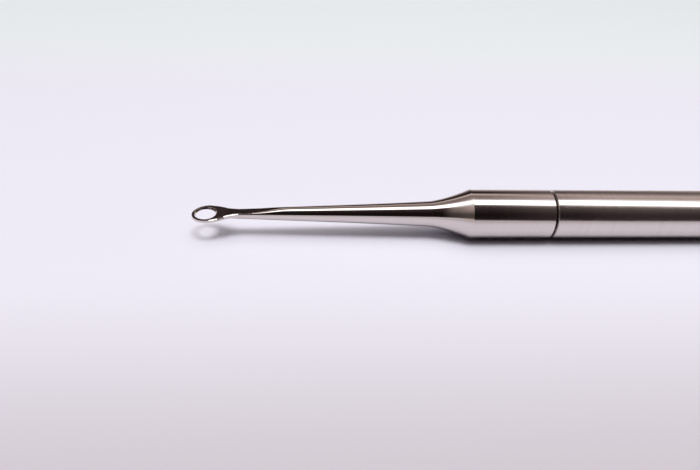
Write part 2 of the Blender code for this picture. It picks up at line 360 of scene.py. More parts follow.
@dataclass(frozen=True)
class Turning:
    """Geometry Nodes trees that turn shapes round the tool's axis.

    Attributes:
        sides: Number of facets round the axis.
    """

    sides: int = 160

    def tree(self, name: str, shape: str, specs: tuple[type, ...], rows: Rows) -> NodeTree:
        """Build a Geometry Nodes tree with named inputs, the last of which is its finish.

        Args:
            name: The tree's name.
            shape: Name of the geometry that the tree works on, or nothing if it takes none.
            specs: Dataclasses whose fields are the tree's other inputs.
            rows: Its nodes.

        Returns:
            The tree.
        """
        tree = bpy.data.node_groups.new(name, "GeometryNodeTree")
        kinds = {shape: "Geometry"} if shape else {}
        for item in (item for spec in specs for item in fields(spec)):
            kinds[label(item.name)] = "Int" if item.type is int else "Float"
        add = tree.interface.new_socket
        for text, kind in {**kinds, "Finish": "Material"}.items():
            add(name=text, in_out="INPUT", socket_type=f"NodeSocket{kind}")
        add(name="Geometry", in_out="OUTPUT", socket_type="NodeSocketGeometry")
        given = add_node(tree, "NodeGroupInput").outputs
        add_nodes(tree, {socket.name: socket for socket in given}, rows)
        return tree

    def outline_tree(self) -> NodeTree:
        """Build the tree that turns an outline, given as a chain of vertices, round the axis.

        Returns:
            The tree.
        """
        reading = {"data_type": "FLOAT_VECTOR", "domain": "POINT"}
        sample = {"Geometry": "Outline", "Value": "position", "Index": "row"}
        rows = {
            "Rows": ("GeometryNodeAttributeDomainSize", None, "Outline"),
            **GRID,
            "index": ("GeometryNodeInputIndex", None),
            "centred": (MATH, "ADD", "index", 0.5),
            "passed": (MATH, "DIVIDE", "centred", "columns"),
            "row": (MATH, "FLOOR", "passed"),
            "sample": ("GeometryNodeSampleIndex", reading, sample),
            "sampled": (SPLIT, None, "sample"),
            "along": "sampled.X",
            "radius": "sampled.Y",
            **WRAP,
        }
        return self.tree("turned_outline", "Outline", (Turning,), rows)

    def taper_tree(self) -> NodeTree:
        """Build the tree for a taper that swells by a power rule towards its thick end.

        Returns:
            The tree.
        """
        rows = {
            **GRID,
            "built": (MATH, "MULTIPLY", "share", "Built Share"),
            "along": (MATH, "MULTIPLY_ADD", "built", "Length", "Start"),
            "power": (MATH, "POWER", "built", "Power"),
            "bulge": (MATH, "SUBTRACT", "power", "built"),
            "swollen": (MATH, "MULTIPLY_ADD", "bulge", "Swell", "built"),
            "growth": (MATH, "SUBTRACT", "End Radius", "Start Radius"),
            "radius": (MATH, "MULTIPLY_ADD", "swollen", "growth", "Start Radius"),
            **WRAP,
        }
        return self.tree("swelling_taper", "", (Taper, Turning), rows)

    def thread_tree(self) -> NodeTree:
        """Build the tree for a right-handed outside thread that fades out at both ends.

        Returns:
            The tree.
        """
        rows = {
            **GRID,
            "run": (MATH, "MULTIPLY", "share", "Length"),
            "left": (MATH, "SUBTRACT", "Length", "run"),
            "nearer": (MATH, "MINIMUM", "run", "left"),
            "fade": (MATH, {"operation": "DIVIDE", "use_clamp": True}, "nearer", "Run Out"),
            "along": (MATH, "ADD", "run", "Start"),
            "past": (MATH, "SUBTRACT", "along", "First Crest"),
            "pitches": (MATH, "DIVIDE", "past", "Pitch"),
            "phase": (MATH, "SUBTRACT", "pitches", "turn"),
            "nearest": (MATH, "ROUND", "phase"),
            "offset": (MATH, "SUBTRACT", "phase", "nearest"),
            "aside": (MATH, "ABSOLUTE", "offset"),
            "distance": (MATH, "MULTIPLY", "aside", "Pitch"),
            "half_base": (MATH, "MULTIPLY", "Base Width", 0.5),
            "half_crest": (MATH, "MULTIPLY", "Crest Width", 0.5),
            "height": (SPAN, None, "distance", "half_base", "half_crest"),
            "faded": (MATH, "MULTIPLY", "height", "fade"),
            "radius": (MATH, "MULTIPLY_ADD", "faded", "Depth", "Core Radius"),
            **WRAP,
        }
        return self.tree("outside_thread", "", (Thread, Turning), rows)

    def flat_tree(self) -> NodeTree:
        """Build the tree that grinds a flat, first level and then rising, into a body's top.

        Returns:
            The tree.
        """
        above = {"data_type": "FLOAT", "operation": "GREATER_THAN"}
        dressed = {"Geometry": "real", "Selection": "on_flat", "Material": "Finish"}
        rows = {
            "position": ("GeometryNodeInputPosition", None),
            "at": (SPLIT, None, "position"),
            "ahead": (MATH, "SUBTRACT", "at.X", "Level End"),
            "rising": (MATH, "MAXIMUM", "ahead", 0.0),
            "falling": (MATH, "MINIMUM", "ahead", 0.0),
            "power": (MATH, "POWER", "rising", "Lift Power"),
            "lifted": (MATH, "MULTIPLY_ADD", "power", "Lift", "Level"),
            "height": (MATH, "MULTIPLY_ADD", "falling", "Fall", "lifted"),
            "softness": (SPAN, None, "at.X", "Soft From", "Soft To", "Edge", "Soft Edge"),
            "cut": (MATH, "SMOOTH_MIN", "at.Z", "height", "softness"),
            "place": (JOIN, None, "at.X", "at.Y", "cut"),
            "moved": ("GeometryNodeSetPosition", None, {"Geometry": "Body", "Position": "place"}),
            "rim": (MATH, "SUBTRACT", "height", "Margin"),
            "on_flat": ("FunctionNodeCompare", above, "at.Z", "rim"),
            "real": ("GeometryNodeRealizeInstances", None, "moved"),
            "dressed": ("GeometryNodeSetMaterial", None, dressed),
            "end": ("NodeGroupOutput", None, "dressed"),
        }
        return self.tree("ground_flat", "Body", (Flat,), rows)

    def run(
        self,
        tree: NodeTree,
        name: str,
        finish: Material,
        spec: Taper | Thread | Flat | None = None,
        given: Mesh | None = None,
    ) -> Mesh:
        """Run a tree once and keep what it makes as a plain mesh.

        Args:
            tree: The tree to run.
            name: The new mesh's name.
            finish: The material that it gives.
            spec: Its other inputs, if it has any apart from its sides.
            given: The mesh that it works on, if it takes one.

        Returns:
            The plain mesh.
        """
        piece = show(name, given or bpy.data.meshes.new(name))
        modifier = piece.modifiers.new(tree.name, "NODES")
        modifier.node_group = tree
        values = {**vars(self), **(vars(spec) if spec else {}), "finish": finish}
        values = {label(key): value for key, value in values.items()}
        for item in tree.interface.items_tree:
            if item.in_out == "INPUT" and item.name in values:
                modifier[item.identifier] = values[item.name]
        return evaluated(piece, name)

    def outline(self, name: str, points: list[Point], finish: Material) -> Mesh:
        """Turn an outline round the axis.

        Args:
            name: The new mesh's name.
            points: The outline's (x, radius) points.
            finish: The material.

        Returns:
            The turned mesh.
        """
        chain = bpy.data.meshes.new(name)
        links = [(i, i + 1) for i in range(len(points) - 1)]
        chain.from_pydata([(x, radius, 0.0) for x, radius in points], links, [])
        tree = bpy.data.node_groups.get("turned_outline") or self.outline_tree()
        return self.run(tree, name, finish, given=chain)


def welded(name: str, parts: list[Mesh]) -> Mesh:
    """Join meshes that share their rims into one closed mesh with its faces outwards.

    Args:
        name: The new mesh's name.
        parts: Meshes with one material each.

    Returns:
        The joined mesh, with one material slot for each different material.
    """
    finishes: list[Material] = []
    work = bmesh.new()
    for part in parts:
        finish = next(material for material in part.materials if material)
        if finish not in finishes:
            finishes.append(finish)
        first = len(work.faces)
        work.from_mesh(part)
        work.faces.ensure_lookup_table()
        for face in work.faces[first:]:
            face.material_index = finishes.index(finish)
    bmesh.ops.remove_doubles(work, verts=work.verts, dist=MERGE)
    bmesh.ops.recalc_face_normals(work, faces=work.faces)
    mesh = bpy.data.meshes.new(name)
    work.to_mesh(mesh)
    work.free()
    for finish in finishes:
        mesh.materials.append(finish)
    return mesh


def shade(mesh: Mesh) -> None:
    """Shade a mesh smooth, but sharp at its steep edges and wherever its material changes.

    Args:
        mesh: The mesh to shade.
    """
    mesh.shade_smooth()
    mesh.set_sharp_from_angle(angle=math.radians(SHARP_ANGLE))
    work = bmesh.new()
    work.from_mesh(mesh)
    for edge in work.edges:
        if len({face.material_index for face in edge.link_faces}) > 1:
            edge.smooth = False
    work.to_mesh(mesh)
    work.free()


@dataclass(frozen=True)
class SteelFinish:
    """Stainless steel with one kind of machined surface.

    Attributes:
        name: The material's name.
        colour: What the clean metal tints its reflections, as sRGB hex.
        worn: Its tint where handling has dulled it, as sRGB hex.
        roughness: Roughness between the lines.
        roughness_spread: How far smudges and wear change the roughness.
        lay: Which way the machining lines run.
        line_pitch: Spacing of the lines.
        line_depth: Height of the lines.
        wave_pitch: Spacing of the slow waves that bend reflections.
        wave_depth: Height of those waves.
    """

    name: str
    colour: str
    worn: str
    roughness: float
    roughness_spread: float
    lay: Lay
    line_pitch: float
    line_depth: float
    wave_pitch: float
    wave_depth: float

    def build(self) -> Material:
        """Build the material's nodes.

        Returns:
            The material.
        """
        across = 1 / (self.line_pitch * MM)
        slow = across / LINE_STRETCH
        scale = (across, slow, slow) if self.lay is Lay.AROUND else (slow, across, across)
        low, high = (self.roughness + side * self.roughness_spread for side in (-0.5, 0.5))
        line = {"Vector": "stretched", "Scale": 1.0, "Detail": 3.0, "Roughness": 0.6}
        wave = {"Vector": "centred", "Scale": 1 / (self.wave_pitch * MM), "Detail": 1.0}
        relief = {"Distance": self.wave_depth * MM, "Height": "waves", "Normal": "line_bump"}
        tints = {"Factor": "lines", 6: linear(self.colour), 7: linear(self.worn)}
        smudge = {"Scale": 1 / (SMUDGE_SIZE * MM), "Detail": 4.0, "Roughness": 0.65}
        steel = {"Base Color": "tint", "Metallic": 1.0, "Roughness": "dulling", "Normal": "relief"}
        rows = {
            "place": ("ShaderNodeTexCoord", None),
            "centred": (MAPPING, None, "place.Object", (0.0, 0.0, -AXIS_Z * MM)),
            "stretched": (MAPPING, None, {"Vector": "centred", "Scale": scale}),
            "lines": (NOISE, None, line),
            "line_bump": (BUMP, None, {"Distance": self.line_depth * MM, "Height": "lines"}),
            "waves": (NOISE, None, wave),
            "relief": (BUMP, None, relief),
            "tint": (MIX, COLOURS, tints),
            "smudges": (NOISE, None, {"Vector": "centred", **smudge}),
            "dulling": (SPAN, None, "smudges", *SMUDGE_SPAN, low, high),
            "shader": ("ShaderNodeBsdfPrincipled", None, steel),
            "end": ("ShaderNodeOutputMaterial", None, "shader"),
        }
        return new_material(self.name, rows)


# Mirror-polished stainless steel: shank and flare are buffed with fine compound, so that every
# lamp and card shows as a clean band, slightly wavy from hand work.
POLISHED = SteelFinish(
    name="mirror_polished_stainless",
    colour="D5CCC9",
    worn="CFC6C3",
    roughness=0.07,
    roughness_spread=0.03,
    lay=Lay.ALONG,
    line_pitch=0.12,
    line_depth=0.00006,
    wave_pitch=2.5,
    wave_depth=0.0006,
)

# Surface-ground stainless steel: the blade's top and the flat behind it come from a fine wheel
# that leaves straight lines along the tool. Real grit lines are near 0.01 mm apart and too fine
# to show, so that they are drawn 0.09 mm apart.
GROUND = SteelFinish(
    name="fine_ground_stainless",
    colour="D4CDC7",
    worn="C8C1BB",
    roughness=0.1,
    roughness_spread=0.04,
    lay=Lay.ALONG,
    line_pitch=0.09,
    line_depth=0.00016,
    wave_pitch=1.2,
    wave_depth=0.0004,
)

# Satin stainless steel: handle and cap are turned, then dressed with fine abrasive while they
# spin. The lines run round the tool and roughen the edges of every reflection. Real ones are
# near 0.02 mm apart; they are drawn 0.2 mm apart so that they show.
SATIN = SteelFinish(
    name="satin_turned_stainless",
    colour="DDD4D1",
    worn="C5BCB9",
    roughness=0.15,
    roughness_spread=0.05,
    lay=Lay.AROUND,
    line_pitch=0.2,
    line_depth=0.0018,
    wave_pitch=0.4,
    wave_depth=0.0016,
)

# Fine-turned stainless steel: the collar gets one light cut with a keen tool and a wipe of fine
# paper, so that it mirrors more sharply than the handle. Its lines are drawn 0.16 mm apart.
FINE = SteelFinish(
    name="fine_turned_stainless",
    colour="DAD1CE",
    worn="C9C0BD",
    roughness=0.115,
    roughness_spread=0.03,
    lay=Lay.AROUND,
    line_pitch=0.16,
    line_depth=0.0011,
    wave_pitch=0.4,
    wave_depth=0.0013,
)

# Lathe-turned stainless steel, left as it comes off the tool: thread, spigot and bush show the
# feed of the cutting edge as fine rings, 0.1 mm apart.
TURNED = SteelFinish(
    name="lathe_turned_stainless",
    colour="C8C5C2",
    worn="AFACA9",
    roughness=0.28,
    roughness_spread=0.08,
    lay=Lay.AROUND,
    line_pitch=0.1,
    line_depth=0.0012,
    wave_pitch=0.8,
    wave_depth=0.001,
)


@dataclass(frozen=True)
class MouldedRubber:
    """Nitrile rubber as it comes from the mould.

    Attributes:
        name: The material's name.
        colour: The rubber's colour as sRGB hex.
        bloom: Its colour where it has turned dusty, as sRGB hex.
        roughness: Roughness of the moulded skin.
        grain: Size of the skin's grain.
        grain_share: Height of the grain as a share of the parting line's.
        parting_x: Place of the mould's parting line in the frame.
        parting_width: Half the parting line's width.
        depth: Height of the parting line.
    """

    name: str = "moulded_nitrile_rubber"
    colour: str = "232223"
    bloom: str = "35322F"
    roughness: float = 0.55
    grain: float = 0.08
    grain_share: float = 0.25
    parting_x: float = SEAM_X + HALF_SEAM + 0.35
    parting_width: float = 0.03
    depth: float = 0.02

    def build(self) -> Material:
        """Build the material's nodes.

        Returns:
            The material.
        """
        skin = {"Vector": "place.Object", "Scale": 1 / (self.grain * MM), "Detail": 2.0}
        line = {"Location": (-self.parting_x * MM, 0, 0), "Scale": (1, 0, 0)}
        tints = {"Factor": "skin", 6: linear(self.colour), 7: linear(self.bloom)}
        rubber = {"Base Color": "tint", "Roughness": self.roughness, "Normal": "relief"}
        rows = {
            "place": ("ShaderNodeTexCoord", None),
            "skin": (NOISE, None, skin),
            "shift": (MAPPING, None, {"Vector": "place.Object", **line}),
            "away": ("ShaderNodeVectorMath", "LENGTH", "shift"),
            "flash": (SPAN, None, "away", self.parting_width * MM, 0.0),
            "height": (MATH, "MULTIPLY_ADD", "skin", self.grain_share, "flash"),
            "relief": (BUMP, None, {"Distance": self.depth * MM, "Height": "height"}),
            "tint": (MIX, COLOURS, tints),
            "shader": ("ShaderNodeBsdfPrincipled", None, rubber),
            "end": ("ShaderNodeOutputMaterial", None, "shader"),
        }
        return new_material(self.name, rows)


@dataclass(frozen=True)
class RingBlade:
    """The pierced flat blade at the head's tip, with its neck."""

    tip_x: float = -57.89
    centre_x: float = -55.77
    opening: float = 1.81
    opening_length: float = 1.75
    corner_x: float = -55.41
    half_breadth: float = 2.33
    front_power: float = 1.76
    near_front_power: float = 2.25
    waist_x: float = -52.4
    flank_bulge: float = 0.16
    neck: tuple[Point, ...] = ((-50.6, 0.92), (-51.2, 1.0), (-51.8, 1.13), (-52.4, 1.3))
    top_line: tuple[Point, ...] = (
        (-54.7, 0.1), (-54.0, 0.15), (-53.6, 0.17), (-53.2, 0.2), (-52.8, 0.26),
        (-52.4, 0.31), (-51.8, 0.35), (-51.0, 0.39), (-50.6, 0.4),
    )
    low_line: tuple[Point, ...] = ((-57.89, -0.28), (-54.2, -0.3), (-52.8, -0.25), (-50.6, -0.2))
    bevel_line: tuple[Point, ...] = (
        (-55.3, 0.0), (-54.8, 1.0), (-53.75, 1.0), (-53.5, 0.15), (-52.95, 0.15), (-52.75, 1.0),
    )
    far_bevel_line: tuple[Point, ...] = ((-53.6, 0.15), (-52.2, 1.0))
    fall_line: tuple[Point, ...] = (
        (-55.3, 0.0), (-54.8, 0.14), (-53.75, 0.14), (-53.5, 0.36), (-52.95, 0.36), (-52.7, 0.14),
    )
    inset_line: tuple[Point, ...] = (
        (-55.3, 0.0), (-54.8, 0.05), (-53.75, 0.05), (-53.5, 0.13), (-52.95, 0.13), (-52.7, 0.05),
    )
    bevel_breadth: float = 0.2
    bevel_drop: float = 0.089
    top_steps: int = 12
    edge: float = 0.035
    inner_bevel: float = 0.2
    inner_edge_share: float = 0.78
    lip_reach: float = 0.3
    lip_drop: float = 0.4
    arc_steps: int = 96
    flank_steps: int = 48

    def along(self, line: tuple[Point, ...], x: float) -> float:
        """Read a line of (x, value) points at a place along the tool.

        Args:
            line: The points, in order of x.
            x: The place.

        Returns:
            The value there, or the nearest end's value.
        """
        if x <= line[0][0]:
            return line[0][1]
        for (x0, v0), (x1, v1) in zip(line, line[1:]):
            if x <= x1:
                return v0 + (v1 - v0) * (x - x0) / (x1 - x0)
        return line[-1][1]

    def outline(self) -> list[Point]:
        """Draw the blade's outer outline from its tail round the tip and back.

        Returns:
            Its (x, y) points.
        """
        neck = tuple(reversed(self.neck))
        steps, start = self.flank_steps // 2, self.neck[0][0]
        places = [start + (self.waist_x - start) * i / steps for i in range(steps)]
        flank = [(x, self.along(neck, x)) for x in places]
        waist = self.neck[-1][1]
        for i in range(self.flank_steps + 1):
            t = i / self.flank_steps
            x = self.waist_x + (self.corner_x - self.waist_x) * t
            y = waist + (self.half_breadth - waist) * t
            flank.append((x, y + self.flank_bulge * 4 * t * (1 - t)))
        arc = []
        for i in range(1, self.arc_steps):
            turn = math.pi * i / self.arc_steps
            power = 2 / (self.front_power if turn < math.pi / 2 else self.near_front_power)
            x = self.corner_x - (self.corner_x - self.tip_x) * math.sin(turn) ** power
            side = math.cos(turn)
            arc.append((x, math.copysign(self.half_breadth * abs(side) ** power, side)))
        return flank + arc + [(x, -y) for x, y in reversed(flank)]

    def section(self, outer: Vector, inward: Vector, inner: Vector) -> list[Vector]:
        """Draw the blade's section at one station, from the outline to the opening.

        Args:
            outer: The station's point on the outline.
            inward: The direction into the blade, square to the outline.
            inner: The station's point on the opening.

        Returns:
            The section's points, starting at the opening's top and running down the outside.
        """
        across = (inner - outer).normalized()
        e = min(self.edge, (inner - outer).length / 4)
        ground = self.along(self.bevel_line if outer.y < 0 else self.far_bevel_line, outer.x)
        inset = self.along(self.inset_line, outer.x) if outer.y < 0 else 0.0
        breadth = max(e + (self.bevel_breadth - e) * ground, inset + e)
        drop = e + (self.bevel_drop - e) * ground
        fall = self.along(self.fall_line, outer.x) if outer.y < 0 else 0.0
        top_in = self.along(self.top_line, inner.x)
        low_in = self.along(self.low_line, inner.x)
        lip = top_in - (top_in - low_in) * self.inner_edge_share
        edge = outer + inward * breadth
        rim = inner - across * e
        top = self.along(self.top_line, outer.x)
        low = self.along(self.low_line, outer.x)
        nip = e * ARC_INSET
        stations = []
        for i in range(self.top_steps + 1):
            place = rim.lerp(edge, i / self.top_steps)
            stations.append((place, self.along(self.top_line, place.x)))
        stations += [
            (outer + inward * (nip * (1 - ground) + inset), top - nip - (drop - nip) * ground),
            (outer, max(top - drop - fall, low + 1.5 * e)),
            (outer, low + e),
            (outer + inward * nip, low + nip),
            (outer + inward * e, low),
            (inner, low_in),
            (inner + across * self.inner_bevel, lip),
            (inner + across * e * self.lip_reach, top_in - e * self.lip_drop),
        ]
        return [place.to_3d() + Vector((0, 0, z)) for place, z in stations]

    def build(self, finish: Material) -> Mesh:
        """Loft the blade between its outline and its opening.

        Args:
            finish: The material.

        Returns:
            The closed mesh.
        """
        work = bmesh.new()
        rows = []
        outline = [Vector(point) for point in self.outline()]
        for i, outer in enumerate(outline):
            run = outline[min(i + 1, len(outline) - 1)] - outline[max(i - 1, 0)]
            inward = Vector((-run.y, run.x)).normalized()
            out = (outer - Vector((self.centre_x, 0))).normalized()
            inner = Vector((self.centre_x + out.x * self.opening_length, out.y * self.opening))
            rows.append([work.verts.new(point) for point in self.section(outer, inward, inner)])
        count = len(rows[0])
        for row, following in zip(rows, rows[1:] + rows[:1]):
            for i in range(count):
                j = (i + 1) % count
                work.faces.new((row[i], row[j], following[j], following[i]))
        bmesh.ops.triangulate(work, faces=work.faces)
        bmesh.ops.recalc_face_normals(work, faces=work.faces)
        mesh = bpy.data.meshes.new("ring_blade")
        work.to_mesh(mesh)
        work.free()
        mesh.materials.append(finish)
        return mesh


@dataclass
class CuretteHead:
    """Ring blade, neck, shank, flare, collar and threaded spigot, one piece of steel."""

    turning: Turning
    shank: Taper = Taper(
        start=-52.4, length=32.4, start_radius=0.76, end_radius=2.08, swell=0.12, power=4.0, rows=90
    )
    flare_power: float = 1.5
    flare_rows: int = 60
    collar_x: float = -13.54
    rim_reach: float = 0.05
    nose_x: float = -53.77
    nose_radius: float = 0.24
    shoulder_chamfer: float = 0.25
    shoulder_depth: float = 0.5
    spigot_neck: float = 1.90
    neck_slope: float = 0.18
    thread: Thread = Thread()
    end_chamfer: float = 0.3
    spigot_end: float = 6.535
    flat: Flat = Flat()
    dress_depth: float = 0.02
    dress_level: float = 0.9
    blade: RingBlade = RingBlade()

    def flare(self) -> Taper:
        """Shape the flare, which carries on the shank's slope and stops at the collar's rim.

        Returns:
            The flare.
        """
        shank = self.shank
        start = shank.start + shank.length
        length = self.collar_x - start
        swell = 1 - shank.end_slope() * length / (TOOL_RADIUS - shank.end_radius)
        sizes = (start, length, shank.end_radius, TOOL_RADIUS, swell, self.flare_power)
        return Taper(*sizes, self.flare_rows, 1 - self.rim_reach / length)

    def body(self, polished: Material, fine: Material, turned: Material) -> Mesh:
        """Turn everything but the blade.

        Args:
            polished: Finish of shank and flare.
            fine: Finish of the collar.
            turned: Finish of shoulder, spigot and thread.

        Returns:
            The closed body.
        """
        turning, shank, flare, thread = self.turning, self.shank, self.flare(), self.thread
        core, thread_end = thread.core_radius, thread.start + thread.length
        rim_x = self.collar_x - self.rim_reach
        rim = (rim_x, flare.radius(rim_x))
        collar_end = (-HALF_SEAM - self.shoulder_chamfer, TOOL_RADIUS)
        edge = corner(rim, (self.collar_x, TOOL_RADIUS), (0.0, TOOL_RADIUS), self.rim_reach)
        thin_end = (shank.start, shank.start_radius)
        nose = [thin_end, (self.nose_x, self.nose_radius), (self.nose_x, 0.0)]
        shoulder = [
            collar_end,
            (-HALF_SEAM, TOOL_RADIUS - self.shoulder_depth),
            (-HALF_SEAM, self.spigot_neck),
            (thread.start - self.neck_slope, self.spigot_neck),
            (thread.start, core),
        ]
        end = [
            (thread_end, core),
            (self.spigot_end - self.end_chamfer, core),
            (self.spigot_end, core - self.end_chamfer),
            (self.spigot_end, 0.0),
        ]
        taper = turning.taper_tree()
        parts = [
            turning.run(taper, "shank", polished, shank),
            turning.run(taper, "flare", polished, flare),
            turning.outline("nose", rounded(nose, {1: 0.1}), polished),
            turning.outline("collar", [rim, *edge[1:], collar_end], fine),
            turning.outline("shoulder", rounded(shoulder, {1: 0.02, 2: 0.08, 3: 0.05}), turned),
            turning.run(turning.thread_tree(), "outside_thread", turned, thread),
            turning.outline("spigot_end", rounded(end, {1: 0.03, 2: 0.03}), turned),
        ]
        return welded("head_body", parts)

    def build(self) -> Object:
        """Build the head and set it on the frame.

        Returns:
            The finished piece.
        """
        polished, ground = POLISHED.build(), GROUND.build()
        body, turning = self.body(polished, FINE.build(), TURNED.build()), self.turning
        body = turning.run(turning.flat_tree(), "ground_head_body", ground, self.flat, body)
        head = show("curette_head_body", body)
        ring = show("ring_blade", self.blade.build(polished))
        boolean = head.modifiers.new("ring_blade", "BOOLEAN")
        boolean.operation = "UNION"
        boolean.object = ring
        boolean.solver = "EXACT"
        boolean.material_mode = "TRANSFER"
        mesh = evaluated(head, "curette_head_visual")
        bpy.data.objects.remove(ring, do_unlink=True)
        self.dress(mesh, ground)
        shade(mesh)
        piece = show("steel_curette_head", on_frame(mesh))
        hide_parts("curette_head")
        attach(piece, "head")
        return piece

    def dress(self, mesh: Mesh, ground: Material) -> None:
        """Give the blade's level top its ground finish.

        Args:
            mesh: The head's mesh, in millimetres from the seam.
            ground: The ground finish.
        """
        slot = mesh.materials.find(ground.name)
        for face in mesh.polygons:
            low = face.center.x < self.blade.neck[0][0]
            height = self.blade.along(self.blade.top_line, face.center.x)
            high = face.center.z > height - self.dress_depth
            if low and high and face.normal.z > self.dress_level:
                face.material_index = slot


@dataclass
class Handle:
    """Plain round tube with its threaded bush and end cap."""

    turning: Turning
    bore: float = 3.2
    mouth_chamfer: float = 0.1
    mouth_depth: float = 0.4
    cap_seam: float = 79.0
    press_gap: float = 0.03
    seam_chamfer: float = 0.16
    tail: float = 84.0
    edge_radius: float = 1.2
    edge_steps: int = 12
    plug: float = 3.17
    plug_end: float = 73.0
    plug_chamfer: float = 0.4

    def tube(self, satin: Material) -> Object:
        """Build the tube.

        Args:
            satin: Its finish.

        Returns:
            The finished piece.
        """
        back = self.cap_seam - self.press_gap
        outline = rounded(
            [
                (back, TOOL_RADIUS - self.seam_chamfer),
                (back - self.seam_chamfer, TOOL_RADIUS),
                (HALF_SEAM + self.mouth_chamfer, TOOL_RADIUS),
                (HALF_SEAM, TOOL_RADIUS - self.mouth_depth),
                (HALF_SEAM, self.bore),
                (back, self.bore),
            ],
            {0: 0.03, 1: 0.05, 2: 0.03, 3: 0.03, 4: 0.05, 5: 0.05},
        )
        mesh = welded("tube_wall", [self.turning.outline("tube", outline + outline[:1], satin)])
        shade(mesh)
        piece = show("satin_handle_tube", on_frame(mesh))
        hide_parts("handle_tube")
        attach(piece, "handle")
        return piece

    def cap(self, satin: Material) -> Object:
        """Build the end cap.

        Args:
            satin: Its finish.

        Returns:
            The finished piece.
        """
        outline = [(self.tail, 0.0)]
        for i in range(self.edge_steps + 1):
            turn = math.pi / 2 * i / self.edge_steps
            x = self.tail - self.edge_radius * (1 - math.cos(turn))
            outline.append((x, TOOL_RADIUS - self.edge_radius * (1 - math.sin(turn))))
        outline += [
            (self.cap_seam + self.seam_chamfer, TOOL_RADIUS),
            (self.cap_seam, TOOL_RADIUS - self.seam_chamfer),
            (self.cap_seam, self.plug),
            (self.plug_end + self.plug_chamfer, self.plug),
            (self.plug_end, self.plug - self.plug_chamfer),
            (self.plug_end, 0.0),
        ]
        outline = rounded(outline, {14: 0.05, 15: 0.03})
        mesh = welded("cap_body", [self.turning.outline("cap", outline, satin)])
        shade(mesh)
        piece = show("satin_end_cap", on_frame(mesh))
        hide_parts("end_cap")
        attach(piece, "handle")
        return piece

    def bush(self, turned: Material) -> Object:
        """Give the frame's own threaded bush its finish.

        Args:
            turned: The finish.

        Returns:
            The bush.
        """
        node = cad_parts["thread_bush"]
        node.data.materials.clear()
        node.data.materials.append(turned)
        return node


@dataclass
class SealRing:
    """Rubber ring that closes the seam between head and handle."""

    centre_x: float = 0.45
    ring_radius: float = 2.5
    section: float = 0.5
    steps: int = 24

    def build(self, turning: Turning) -> Object:
        """Build the ring.

        Args:
            turning: Turns its round section about the axis.

        Returns:
            The finished piece.
        """
        outline = []
        for i in range(self.steps + 1):
            turn = math.tau * i / self.steps
            x = self.centre_x + self.section * math.cos(turn)
            outline.append((x, self.ring_radius + self.section * math.sin(turn)))
        mesh = welded("seal_body", [turning.outline("seal", outline, MouldedRubber().build())])
        mesh.shade_smooth()
        piece = show("rubber_seal_ring", on_frame(mesh))
        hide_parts("seal_ring")
        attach(piece, "seal")
        return piece


